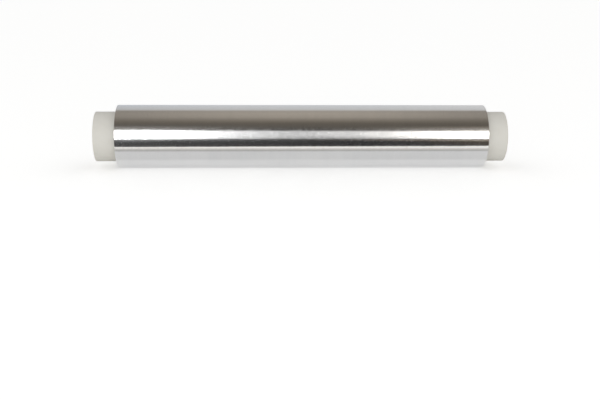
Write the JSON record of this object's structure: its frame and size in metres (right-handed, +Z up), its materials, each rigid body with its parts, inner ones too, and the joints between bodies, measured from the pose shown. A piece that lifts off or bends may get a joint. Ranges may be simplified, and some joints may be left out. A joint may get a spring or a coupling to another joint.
{
  "type": "aluminium foil roll",
  "caption": "Wide catering roll of aluminium foil, wound on a paperboard core that sticks out at both ends, lying on its side.",
  "frame": {"origin": "on the surface that the roll lies on, under the middle of its core", "axes": "+X along the roll's axis, to the right as the picture sees it; +Y to the back; +Z up"},
  "size_m": [0.502, 0.0774, 0.0771],
  "materials": {
    "foil": "bright rolled foil",
    "core": "smooth off-white paper"
  },
  "bodies": {
    "root": {"core": "core", "foil_winding": "foil"}
  },
  "joints": []
}
